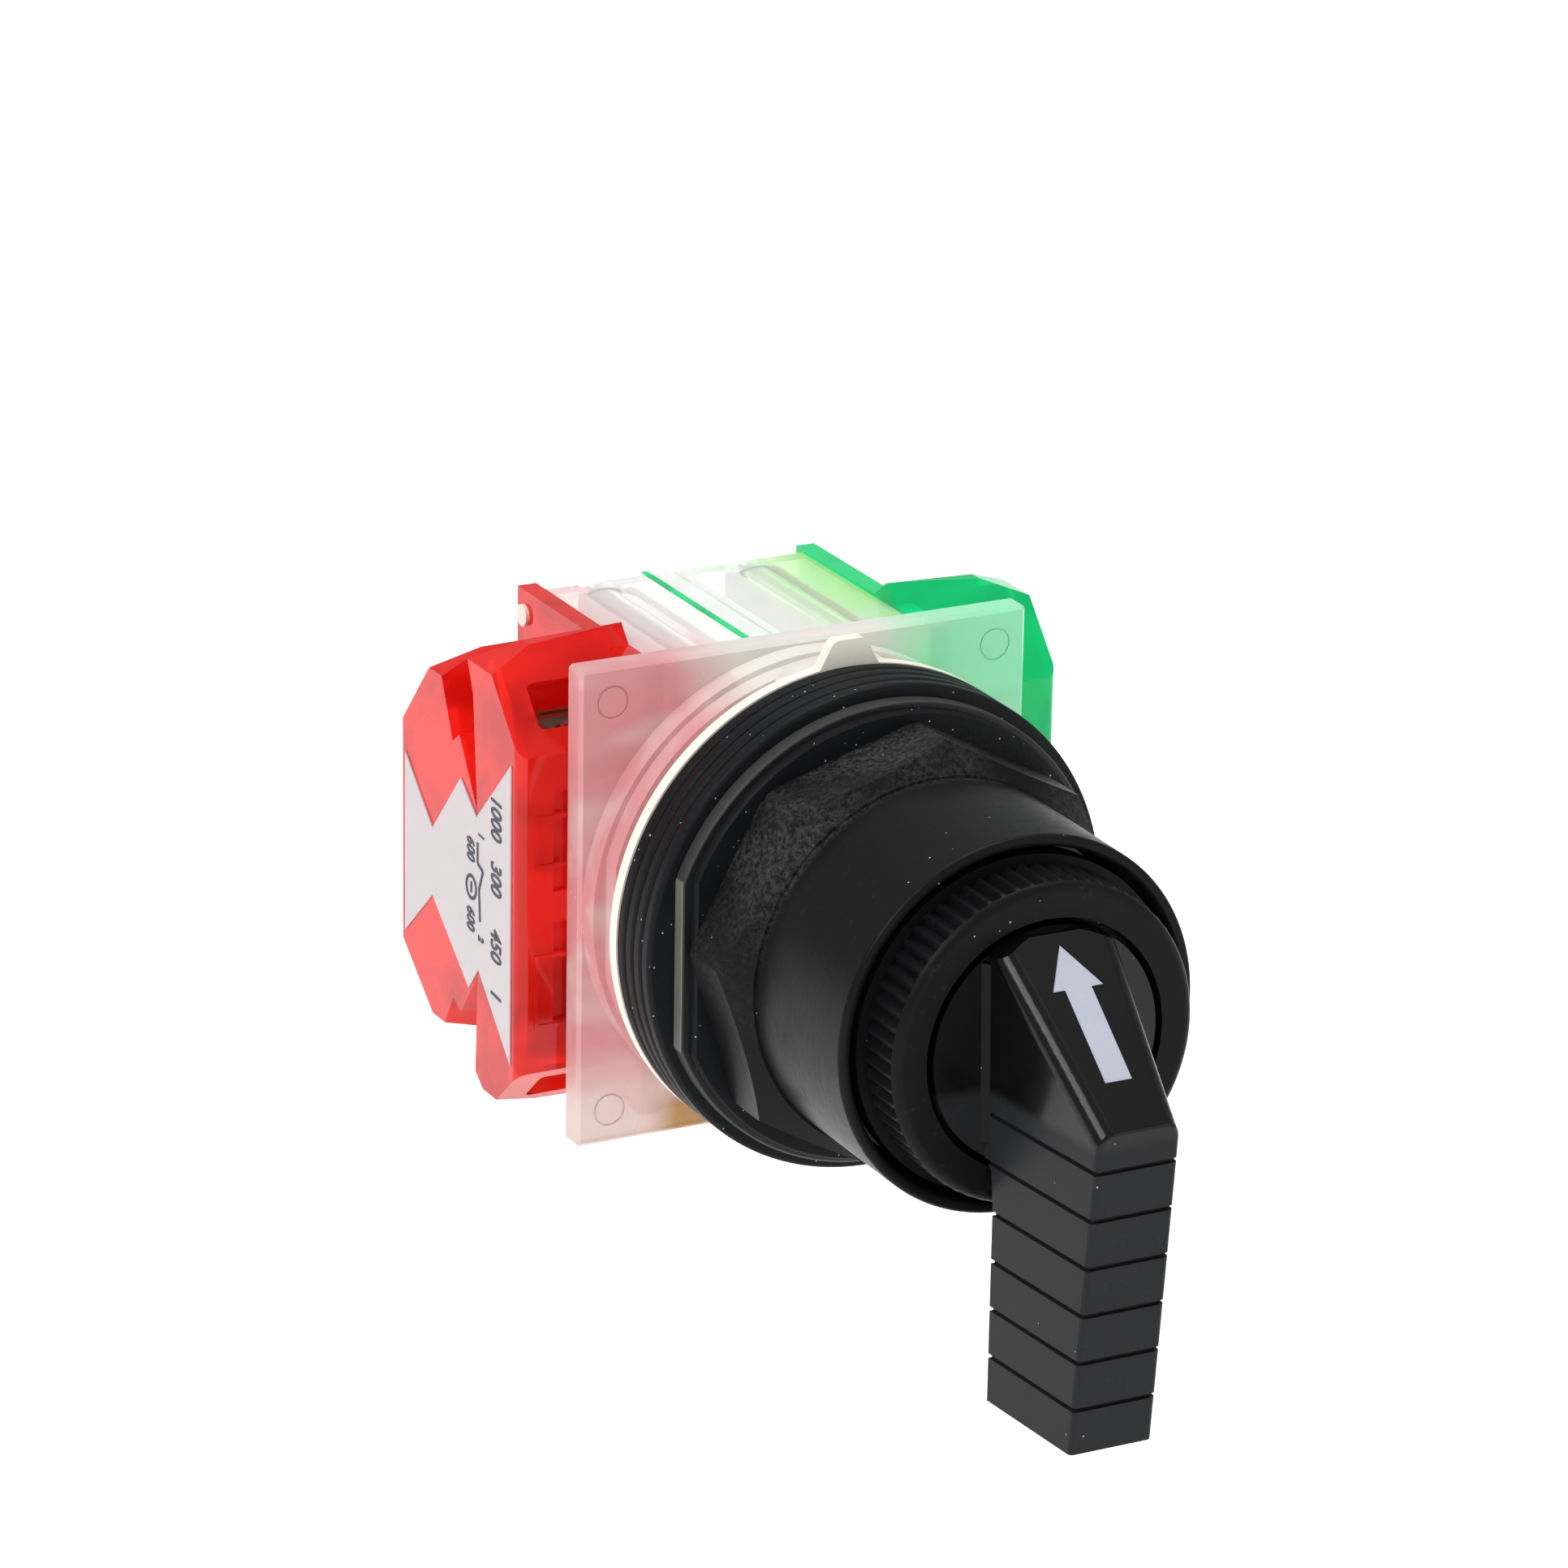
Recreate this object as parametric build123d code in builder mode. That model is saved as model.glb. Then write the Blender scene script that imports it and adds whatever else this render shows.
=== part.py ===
# Three-position lever selector switch for a 30 mm panel hole, with two contact blocks behind it.
# Y is the operator axis and the front faces -Y. Z is up. The origin is on that axis, in the plane
# where the panel seats. Sizes are millimetres. A place along the axis is a plain y value.

import os
from math import pi, cos, radians, sin, sqrt

from build123d import *

# ---- driving dimensions of the operator ----
thread_r = 14.9              # threaded barrel that goes through the panel hole
nut_clearance = 0.1          # between the barrel and what screws on it
washer_clearance = 0.25
running_clearance = 0.06     # spindle in its bearing, pushers in their guides
base_side_margin = 6.8       # from the barrel to the base plate's side
base_top_margin = 7.05
base_thickness = 2.3
base_front_y = 7.9           # front face of the square base plate
boss_rim = 6.5               # radial widths outside the barrel
boss_flat_rim = 5.3
neck_rim = 4.7
locating_washer_rim = 7.1
locating_washer_t = 1.2
nub_rise = 2.3
gasket_rim = 7.1
gasket_t = 1.5
gasket_gap = 0.05
gasket_count = 4
flat_washer_rim = 6.0
flat_washer_t = 1.4
flat_washer_flat_rim = 4.6
thrust_washer_rim = 5.4
thrust_washer_t = 1.0
thrust_washer_flat_rim = 3.8
nut_corner_rim = 4.6
nut_height = 5.1
nut_cone_height = 2.1
nut_turn = 39.4              # the nut stops at any angle when it is tight
nut_thread_length = 12.4
skirt_room = 0.7             # between the barrel's radius and the skirt's bore
skirt_wall = 1.1
skirt_front_y = -30.9
barrel_front_y = -28.0
ring_front_y = -35.5
ring_flange_t = 2.4
ring_flange_step = 0.7       # between the skirt's bore and the ring's flange, and again to the teeth
ring_teeth = 66
tooth_side = 0.95
hub_r = 9.2
hub_clearance = 0.4
disc_r = 10.47
disc_t = 2.3
disc_gap = 0.63              # groove between the lever's disc and the knurled ring
seal_shoulder_y = -19.4
seal_room = 2.3
spindle_r = 4.0
journal_r = 6.0
bearing_length = 8.0
pin_r = 1.0

# ---- driving dimensions of the lever ----
lever_front_half = 3.8       # half width at the front face, top and bottom
lever_front_half_low = 3.58
lever_rear_half = 5.85
lever_rear_half_low = 4.87
lever_bottom_z = -31.0
slope_top_y = -36.5
slope_top_z = 10.2
slope_foot_y = -51.3
slope_foot_z = -1.6
front_foot_y = -48.35
groove_count = 6
groove_pitch = 4.36
groove_depth = 0.35
groove_width = 0.42
first_groove_z = -5.0
arrow_start = 1.1            # from the top of the slope to the arrow's tip
arrow_length = 13.1
arrow_head_length = 4.2
arrow_head_half = 2.35
arrow_shaft_half = 1.25
arrow_t = 0.6
arrow_recess = 0.08

# ---- driving dimensions of the motion ----
turn_limit = 45.0
push_radius = 7.5            # distance of each pusher from the axis
cam_rise = 2.0               # rise of the cam's tilted rear face at that distance
cam_r = 9.4
cam_gap = 0.4
cam_front_y = -3.6
cam_mid_y = 1.5
cam_hub_r = 5.2
pusher_r = 1.9
pusher_gap = 0.25
ball_r = 1.2
ball_gap = 0.12
detent_y = -2.2
coil_r = 0.7
coil_wire_r = 0.14
clip_t = 0.6

# ---- driving dimensions of a contact block, outwards from the plane between the blocks ----
block_inner_x = 0.15
chamber_outer_x = 13.0
block_outer_x = 26.4
block_rear_y = 34.6
chamber_front_wall = 0.9
wall = 1.4
ledge_t = 1.8
ledge_rise = 0.3             # of the coloured ledge over the clear chamber
ledge_rear_y = 35.0
hood_top_z = 22.2
lobe_top_z = 18.6
label_t = 0.12
terminal_x = 19.8
terminal_z = 13.2
channel_front_y = 18.3       # the wire channel's front, at its bottom
strip_room = 0.3             # behind a contact strip
strip_t = 0.8
strip_half = 2.0
contact_z = 8.0
button_r = 1.6
button_t = 0.4
bridge_t = 0.8
contact_clearance = 0.19     # what is left between closed contacts
collar_t = 0.6
carrier_rear_y = 24.0
return_coil_r = 2.7
return_wire_r = 0.35
screw_x = 7.6
screw_r = 1.2
screw_web = 0.35             # left between a mounting screw's hole and the flange's pocket
screw_cover = 2.4            # from a mounting screw to the chamber's top
body_screw_ring = 13.0
body_screw_r = 1.0

# ---- places that follow from the sizes ----
base_rear_y = base_front_y + base_thickness
base_width = 2 * (thread_r + base_side_margin)
base_height = 2 * (thread_r + base_top_margin)
boss_r = thread_r + boss_rim
boss_flat = thread_r + boss_flat_rim
neck_r = thread_r + neck_rim
locating_washer_r = thread_r + locating_washer_rim
gasket_r = thread_r + gasket_rim
flat_washer_r = thread_r + flat_washer_rim
flat_washer_flat = thread_r + flat_washer_flat_rim
thrust_washer_r = thread_r + thrust_washer_rim
thrust_washer_flat = thread_r + thrust_washer_flat_rim
nut_corner_r = thread_r + nut_corner_rim
skirt_bore_r = thread_r + skirt_room
skirt_r = skirt_bore_r + skirt_wall
ring_flange_r = skirt_bore_r - ring_flange_step
ring_crest_r = ring_flange_r - ring_flange_step
flange_r = thread_r + 3.0
screw_ring = flange_r + screw_web + screw_r
screw_z = sqrt(screw_ring**2 - screw_x**2)
chamber_half_z = screw_z + screw_cover
ledge_half_z = chamber_half_z + ledge_rise
strip_front_y = channel_front_y - wall - strip_room - strip_t
flange_t = 2.4
flange_front_y = base_front_y - 4.7
flange_rear_y = flange_front_y + flange_t
guide_plate_t = 2.5
guide_rear_y = flange_rear_y + guide_plate_t
gasket_stack = gasket_count * (gasket_t + gasket_gap)
flat_washer_rear_y = -gasket_stack
thrust_washer_rear_y = flat_washer_rear_y - flat_washer_t
nut_seat_y = thrust_washer_rear_y - thrust_washer_t
nut_front_y = nut_seat_y - nut_height
nut_bore_r = thread_r + nut_clearance
washer_bore_r = thread_r + washer_clearance
cam_room_r = cam_r + cam_gap
bearing_rear_y = cam_front_y - cam_gap
bearing_front_y = bearing_rear_y - bearing_length
hub_rear_y = bearing_front_y - 0.35
hub_bore_r = hub_r + hub_clearance
spigot_bore_r = hub_bore_r + 1.6
spigot_rear_y = seal_shoulder_y - seal_room
disc_rear_y = ring_front_y + disc_t
ring_flange_front_y = barrel_front_y - ring_flange_t
spindle_front_y = ring_front_y + 5.5
spindle_rear_y = cam_mid_y + 4.5
clip_y = spindle_rear_y - 0.7
pin_y = hub_rear_y - 4.2
stroke = cam_rise * sin(radians(turn_limit))
contact_gap = stroke + contact_clearance
ball_place = cam_r + ball_gap + ball_r
chamber_rear_y = block_rear_y - wall
slope_run = slope_top_y - slope_foot_y
slope_rise = slope_top_z - slope_foot_z

# The side outline of a case as (y, z): two terminal hoods in front, two lobes behind, and a
# V-shaped wire channel between them above and below.
case_outline = [
    (base_rear_y, 14.0),
    (17.8, hood_top_z),
    (20.6, 20.0),
    (19.4, 17.0),
    (18.5, 6.6),
    (22.2, 12.4),
    (23.6, 11.4),
    (26.8, lobe_top_z),
    (block_rear_y - 0.5, 10.2),
    (block_rear_y - 0.5, -10.6),
    (26.0, -17.0),
    (23.4, -12.6),
    (21.8, -13.4),
    (channel_front_y, -8.6),
    (18.8, -17.8),
    (15.8, -20.2),
    (base_rear_y, -15.2),
]
label_outline = [
    (11.5, 13.0),
    (18.45, 6.0),
    (21.7, 8.6),
    (27.6, 2.0),
    (33.4, 7.3),
    (33.4, -9.6),
    (27.6, -4.3),
    (20.0, -10.4),
    (18.0, -8.0),
    (11.5, -14.6),
]


def finish(piece, name):
    # labels a piece and writes it under its node's name
    piece.part.label = name
    export_step(piece.part, f"parts/{name}.step")


def across(y):
    # a plane across the axis at y that faces the front, with X and Z as its own axes
    return Plane.XZ.offset(-y)


def add_ring(outer_r, inner_r, rear_y, front_y, mode=Mode.ADD):
    # adds a flat ring, or a round slab where the inner radius is zero
    with BuildSketch(across(rear_y)) as ring:
        Circle(outer_r)
        if inner_r:
            Circle(inner_r, mode=Mode.SUBTRACT)
    extrude(ring.sketch, amount=rear_y - front_y, mode=mode)


def cut_round(radius, rear_y, front_y, places=((0, 0),)):
    # cuts round holes along the axis at (x, z) places
    with BuildSketch(across(rear_y)) as holes:
        with Locations(*places):
            Circle(radius)
    extrude(holes.sketch, amount=rear_y - front_y, mode=Mode.SUBTRACT)


def add_block(near_x, far_x, rear_y, front_y, low_z, high_z, mode=Mode.ADD):
    # adds a square block between two corners
    with BuildSketch(across(rear_y)) as square:
        with Locations(((near_x + far_x) / 2, (low_z + high_z) / 2)):
            Rectangle(abs(far_x - near_x), high_z - low_z)
    extrude(square.sketch, amount=rear_y - front_y, mode=mode)


def add_slab(near_x, far_x, outline, inset=0, mode=Mode.ADD):
    # adds a prism along X with an outline of (y, z) points
    with BuildSketch(Plane.YZ.offset(near_x)) as slab:
        with BuildLine():
            Polyline(*outline, close=True)
        make_face()
        if inset:
            offset(amount=-inset, kind=Kind.INTERSECTION, mode=Mode.REPLACE)
    extrude(slab.sketch, amount=far_x - near_x, mode=mode)


os.makedirs("parts", exist_ok=True)

ring_45 = body_screw_ring * cos(pi / 4)
body_screw_places = [(x, z) for x in (-ring_45, ring_45) for z in (-ring_45, ring_45)]
block_screw_places = [(x, z) for x in (-screw_x, screw_x) for z in (-screw_z, screw_z)]
mark_x = base_width / 2 - 3.1
mark_z = base_height / 2 - 3.15
corner_places = [(x, z) for x in (-mark_x, mark_x) for z in (-mark_z, mark_z)]

# ---- base plate: square plate, stepped boss, and an arch over the locating nub ----
step_y = base_front_y - 2.2
neck_y = step_y - 2.0
arch_z = boss_r + 1.5
nub_arch = [
    (-5.2, arch_z - 6.9),
    (-5.2, arch_z - 2.7),
    (-3.1, arch_z),
    (3.1, arch_z),
    (5.2, arch_z - 2.7),
    (5.2, arch_z - 6.9),
]

with BuildPart() as base_plate:
    with BuildSketch(across(base_rear_y)):
        RectangleRounded(base_width, base_height, 0.45)
    extrude(amount=base_thickness)
    chamfer(base_plate.faces().sort_by(Axis.Y)[0].outer_wire().edges(), 0.35)
    add_ring(boss_r, 0, base_front_y, step_y)
    with BuildSketch(across(step_y)):
        Circle(boss_r - 0.5)
        Rectangle(2 * boss_flat, 3 * boss_r, mode=Mode.INTERSECT)
    extrude(amount=step_y - neck_y)
    add_ring(neck_r, 0, neck_y, locating_washer_t)
    with BuildSketch(across(neck_y)):
        with BuildLine():
            Polyline(*nub_arch, close=True)
        make_face()
        Circle(boss_r + 0.45, mode=Mode.INTERSECT)
    extrude(amount=neck_y - locating_washer_t)
    cut_round(nut_bore_r, base_rear_y, locating_washer_t)
    cut_round(flange_r + 0.1, base_rear_y, flange_front_y)
    cut_round(screw_r, base_rear_y, base_rear_y - 5.6, block_screw_places)
    # ejector marks in the four corners of the front face
    with BuildSketch(across(base_front_y + 0.12)):
        with Locations(*corner_places):
            Circle(1.5)
            Circle(1.32, mode=Mode.SUBTRACT)
    extrude(amount=0.3, mode=Mode.SUBTRACT)
finish(base_plate, "base_plate")

# ---- operator body: flange, threaded barrel, cam room, bearing and front bore ----
relief_y = barrel_front_y + 4.5
pocket_end = thread_r - 0.7

with BuildPart() as operator_body:
    add_ring(flange_r, 0, flange_rear_y, flange_front_y)
    add_ring(thread_r, 0, flange_front_y, relief_y)
    add_ring(thread_r - 0.9, 0, relief_y, barrel_front_y)
    cut_round(cam_room_r, flange_rear_y, bearing_rear_y)
    cut_round(journal_r + running_clearance, bearing_rear_y, bearing_front_y)
    cut_round(hub_bore_r, bearing_front_y, seal_shoulder_y)
    cut_round(spigot_bore_r, seal_shoulder_y, barrel_front_y)
    cut_round(body_screw_r, flange_rear_y, flange_front_y - 1.0, body_screw_places)
    # blind pockets above and below the cam for the detent balls and their springs
    with BuildSketch(Plane.XY):
        with Locations((0, detent_y)):
            Circle(ball_r + 0.1)
    extrude(amount=pocket_end, both=True, mode=Mode.SUBTRACT)
finish(operator_body, "operator_body")

# ---- detent balls and springs ----
with BuildPart() as detent_balls:
    with Locations((0, detent_y, ball_place), (0, detent_y, -ball_place)):
        Sphere(ball_r)
finish(detent_balls, "detent_balls")

coil_start = ball_place + sqrt((ball_r + coil_wire_r) ** 2 - coil_r**2) + 0.02
coil_length = pocket_end - coil_wire_r - 0.02 - coil_start

with BuildPart() as upper_coil:
    with BuildLine(Plane((0, detent_y, coil_start))):
        coil = Helix(pitch=coil_length / 4, height=coil_length, radius=coil_r)
    with BuildSketch(Plane(coil @ 0, z_dir=coil % 0)):
        Circle(coil_wire_r)
    sweep(path=coil)
with BuildPart() as detent_springs:
    add(upper_coil.part)
    mirror(about=Plane.XY)
finish(detent_springs, "detent_springs")

# ---- guide plate behind the flange, with the four screws that hold it ----
guide_bore_r = cam_hub_r + 0.4
head_t = 1.3

with BuildPart() as guide_plate:
    add_ring(flange_r, guide_bore_r, guide_rear_y, flange_rear_y)
    pusher_places = ((-push_radius, 0), (push_radius, 0))
    cut_round(pusher_r + running_clearance, guide_rear_y, flange_rear_y, pusher_places)
    cut_round(body_screw_r + 0.2, guide_rear_y, flange_rear_y, body_screw_places)
finish(guide_plate, "guide_plate")

with BuildPart() as body_screws:
    with BuildSketch(across(guide_rear_y + head_t)):
        with Locations(*body_screw_places):
            Circle(body_screw_r + 0.9)
    extrude(amount=head_t)
    with BuildSketch(across(guide_rear_y)):
        with Locations(*body_screw_places):
            Circle(body_screw_r)
    extrude(amount=guide_rear_y - flange_front_y + 0.8)
    with BuildSketch(across(guide_rear_y + head_t)):
        with Locations(*body_screw_places):
            Rectangle(0.5, 4.0)
    extrude(amount=0.6, mode=Mode.SUBTRACT)
finish(body_screws, "body_screws")

# ---- locating washer with its nub, and the gasket stack ----
nub_top = locating_washer_r + nub_rise
nub_foot = locating_washer_r - 0.3
nub = [
    (-2.9, nub_foot - 1.5),
    (-2.9, nub_foot),
    (-1.5, nub_top),
    (1.5, nub_top),
    (2.9, nub_foot),
    (2.9, nub_foot - 1.5),
]

with BuildPart() as locating_washer:
    with BuildSketch(across(locating_washer_t)):
        Circle(locating_washer_r)
        with BuildLine():
            Polyline(*nub, close=True)
        make_face()
        Circle(washer_bore_r, mode=Mode.SUBTRACT)
    extrude(amount=locating_washer_t)
    fillet(locating_washer.edges().filter_by(Axis.Y).group_by(Axis.Z)[-1], 0.9)
finish(locating_washer, "locating_washer")

for number in range(gasket_count):
    rear_y = -number * (gasket_t + gasket_gap)
    with BuildPart() as gasket:
        add_ring(gasket_r, washer_bore_r, rear_y, rear_y - gasket_t)
        rims = gasket.edges().filter_by(GeomType.CIRCLE)
        fillet(rims.filter_by(lambda edge: edge.radius > gasket_r - 0.1), 0.45)
    finish(gasket, f"gasket_{number + 1}")

# ---- washers with two flats ----
washer_sizes = {
    "flat_washer": (flat_washer_r, flat_washer_flat, flat_washer_rear_y, flat_washer_t),
    "thrust_washer": (thrust_washer_r, thrust_washer_flat, thrust_washer_rear_y, thrust_washer_t),
}
for name, (radius, flat, rear_y, thickness) in washer_sizes.items():
    with BuildPart() as washer:
        with BuildSketch(across(rear_y)):
            Circle(radius)
            Rectangle(2 * flat, 3 * radius, mode=Mode.INTERSECT)
            Circle(washer_bore_r, mode=Mode.SUBTRACT)
        extrude(amount=thickness)
        chamfer(washer.faces().sort_by(Axis.Y)[0].outer_wire().edges(), 0.2)
    finish(washer, name)

# ---- ring nut: octagon with a turned cone in front, and a smooth skirt ----
cone_front_y = nut_front_y - nut_cone_height
cone_r = skirt_r + 0.25

with BuildPart() as octagon:
    with BuildSketch(across(nut_seat_y)):
        RegularPolygon(nut_corner_r, 8, rotation=nut_turn)
    extrude(amount=nut_seat_y - cone_front_y)
with BuildPart() as ring_nut:
    with BuildSketch(Plane.XY):
        with BuildLine():
            Polyline(
                (0, nut_seat_y),
                (nut_corner_r - 0.35, nut_seat_y),
                (nut_corner_r, nut_seat_y - 0.35),
                (nut_corner_r, nut_front_y),
                (cone_r, cone_front_y),
                (0, cone_front_y),
                close=True,
            )
        make_face()
    revolve(axis=Axis.Y)
    add(octagon.part, mode=Mode.INTERSECT)
    add_ring(skirt_r, 0, nut_seat_y - 1.0, skirt_front_y)
    cut_round(nut_bore_r, nut_seat_y, nut_seat_y - nut_thread_length)
    cut_round(skirt_bore_r, nut_seat_y - nut_thread_length, skirt_front_y)
    fillet(ring_nut.edges().filter_by(GeomType.CIRCLE).group_by(Axis.Y)[0], 0.45)
finish(ring_nut, "ring_nut")

# ---- knurled retaining ring with its spigot in the body ----
with BuildPart() as retaining_ring:
    add_ring(spigot_bore_r - 0.1, 0, spigot_rear_y, barrel_front_y)
    add_ring(ring_flange_r, 0, barrel_front_y, ring_flange_front_y)
    add_ring(ring_crest_r, 0, ring_flange_front_y, ring_front_y)
    fillet(retaining_ring.edges().filter_by(GeomType.CIRCLE).group_by(Axis.Y)[0], 0.95)
    # straight teeth that run out into the rounded front edge
    with BuildSketch(across(ring_flange_front_y - 0.2)):
        with PolarLocations(ring_crest_r + 0.12, ring_teeth):
            Rectangle(tooth_side, tooth_side, rotation=45)
    extrude(amount=ring_flange_front_y - ring_front_y - 0.75, mode=Mode.SUBTRACT)
    cut_round(hub_bore_r, spigot_rear_y, ring_front_y)
    cut_round(disc_r + disc_gap, disc_rear_y + 0.25, ring_front_y)
finish(retaining_ring, "retaining_ring")

# ---- shaft seal between the lever's hub and the body ----
seal_outer = spigot_bore_r - 0.05
seal_inner = hub_r + running_clearance

with BuildPart() as shaft_seal:
    with BuildSketch(Plane.XY):
        with Locations(((seal_outer + seal_inner) / 2, seal_shoulder_y - seal_room / 2)):
            Circle((seal_outer - seal_inner) / 2)
    revolve(axis=Axis.Y)
finish(shaft_seal, "shaft_seal")


# ---- lever handle: disc, hub, sloped and tapered grip with six grooves ----
def lever_blank(inset):
    # the grip without its disc; an inset makes the core that is left inside the grooves
    stem_y = ring_front_y + 0.5
    profile = [
        (stem_y, slope_top_z),
        (slope_top_y, slope_top_z),
        (slope_foot_y + inset, slope_foot_z),
        (front_foot_y + inset, lever_bottom_z),
        (ring_front_y - 0.45, lever_bottom_z),
        (ring_front_y - 1.05, -13.0),
        (ring_front_y - 0.8, -9.9),
        (stem_y, -8.9),
    ]
    sections = (
        (slope_top_z + 0.8, lever_rear_half, lever_front_half),
        (lever_bottom_z, lever_rear_half_low, lever_front_half_low),
    )
    with BuildPart() as grip:
        for z, rear_half, front_half in sections:
            with BuildSketch(Plane.XY.offset(z)):
                with BuildLine():
                    Polyline(
                        (inset - rear_half, stem_y),
                        (rear_half - inset, stem_y),
                        (front_half - inset, slope_foot_y - 0.7),
                        (inset - front_half, slope_foot_y - 0.7),
                        close=True,
                    )
                make_face()
        loft()
        add_slab(-lever_rear_half - 1.0, lever_rear_half + 1.0, profile, mode=Mode.INTERSECT)
    return grip


slope_plane = Plane(
    origin=(0, slope_top_y, slope_top_z),
    x_dir=(1, 0, 0),
    z_dir=(0, -slope_rise, slope_run),
)


def arrow_outline(margin):
    # the arrow on the slope, its tip at the top
    tip = -arrow_start
    neck = tip - arrow_head_length
    tail = tip - arrow_length
    with BuildSketch(slope_plane) as outline:
        with BuildLine():
            Polyline(
                (0, tip),
                (arrow_head_half, neck),
                (arrow_shaft_half, neck),
                (arrow_shaft_half, tail),
                (-arrow_shaft_half, tail),
                (-arrow_shaft_half, neck),
                (-arrow_head_half, neck),
                close=True,
            )
        make_face()
        if margin:
            offset(amount=margin, kind=Kind.INTERSECTION, mode=Mode.REPLACE)
    return outline


grip_core = lever_blank(groove_depth)
with BuildPart() as groove_rings:
    for number in range(groove_count):
        with Locations((0, -44.0, first_groove_z - number * groove_pitch)):
            Box(16.0, 24.0, groove_width)
    add(grip_core.part, mode=Mode.SUBTRACT)
with BuildPart() as grip_reach:
    # the top of the grip stays inside the disc's outline
    with BuildSketch(across(ring_front_y + 0.6)):
        Circle(disc_r)
        with Locations((0, -25.0)):
            Rectangle(30.0, 50.0)
    extrude(amount=22.0)
grip_blank = lever_blank(0)
pocket = arrow_outline(0.03)

with BuildPart() as lever_handle:
    add(grip_blank.part)
    slope_face = lever_handle.faces().sort_by(Axis((0, 0, 0), (0, -slope_rise, slope_run)))[-1]
    fillet(slope_face.edges().sort_by(SortBy.LENGTH)[-2:], 1.5)
    front_face = lever_handle.faces().sort_by(Axis.Y)[0]
    fillet(front_face.edges().sort_by(SortBy.LENGTH)[-2:], 0.45)
    add(grip_reach.part, mode=Mode.INTERSECT)
    add(groove_rings.part, mode=Mode.SUBTRACT)
    add_ring(disc_r, 0, disc_rear_y, ring_front_y)
    add_ring(hub_r, 0, hub_rear_y, disc_rear_y)
    cut_round(spindle_r + 0.02, hub_rear_y, spindle_front_y - 0.2)
    extrude(pocket.sketch, amount=-arrow_t - arrow_recess, mode=Mode.SUBTRACT)
    with BuildSketch(Plane.YZ):
        with Locations((pin_y, 0)):
            Circle(pin_r + 0.02)
    extrude(amount=hub_r + 1.0, both=True, mode=Mode.SUBTRACT)
finish(lever_handle, "lever_handle")

arrow_face = arrow_outline(0)
with BuildPart() as pointer_arrow:
    extrude(arrow_face.sketch, amount=-arrow_t - arrow_recess)
    with BuildSketch(slope_plane):
        Rectangle(30.0, 60.0)
    extrude(amount=-arrow_recess, mode=Mode.SUBTRACT)
finish(pointer_arrow, "pointer_arrow")

# ---- spindle, its cross pin in the lever's hub, the cam and the clip that holds it ----
with BuildPart() as spindle:
    add_ring(spindle_r, 0, spindle_rear_y, spindle_front_y)
    add_ring(journal_r, 0, bearing_rear_y + 0.35, bearing_front_y + 0.2)
    add_ring(spindle_r + 1.0, spindle_r - 0.8, clip_y, clip_y - clip_t - 0.04, Mode.SUBTRACT)
    with BuildSketch(Plane.YZ):
        with Locations((pin_y, 0)):
            Circle(pin_r + 0.02)
    extrude(amount=spindle_r + 1.0, both=True, mode=Mode.SUBTRACT)
finish(spindle, "spindle")

with BuildPart() as handle_pin:
    with BuildSketch(Plane.YZ):
        with Locations((pin_y, 0)):
            Circle(pin_r)
    extrude(amount=hub_r - 0.2, both=True)
finish(handle_pin, "handle_pin")

with BuildPart() as spindle_clip:
    with BuildSketch(across(clip_y - 0.02)):
        Circle(spindle_r + 1.1)
        Circle(spindle_r - 0.78, mode=Mode.SUBTRACT)
        with Locations((0, -4.0)):
            Rectangle(3.6, 6.0, mode=Mode.SUBTRACT)
    extrude(amount=clip_t)
finish(spindle_clip, "spindle_clip")

cam_slope = cam_rise / push_radius
cam_hub_rear_y = clip_y - clip_t - 0.06

with BuildPart() as cam:
    add_ring(cam_r, 0, cam_mid_y + cam_slope * cam_r, cam_front_y)
    # the rear face is tilted: it rises towards the rear as z goes up
    far = cam_r + 2.0
    with BuildSketch(Plane.YZ.offset(-far)):
        with BuildLine():
            Polyline(
                (cam_mid_y - cam_slope * far, -far),
                (cam_mid_y + cam_slope * far, far),
                (cam_mid_y + 10.0, far),
                (cam_mid_y + 10.0, -far),
                close=True,
            )
        make_face()
    extrude(amount=2 * far, mode=Mode.SUBTRACT)
    add_ring(cam_hub_r, 0, cam_hub_rear_y, cam_front_y)
    cut_round(spindle_r + 0.02, cam_hub_rear_y + 1.0, cam_front_y)
    # notches in the rim for the two balls, one for each position
    notch_angles = [side + turn for side in (90, 270) for turn in (-turn_limit, 0, turn_limit)]
    with BuildSketch(across(cam_mid_y + 3.0)):
        for angle in notch_angles:
            with Locations((ball_place * cos(radians(angle)), ball_place * sin(radians(angle)))):
                Circle(ball_r + 0.3)
    extrude(amount=cam_mid_y + 3.0 - cam_front_y, mode=Mode.SUBTRACT)
finish(cam, "cam")


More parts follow.
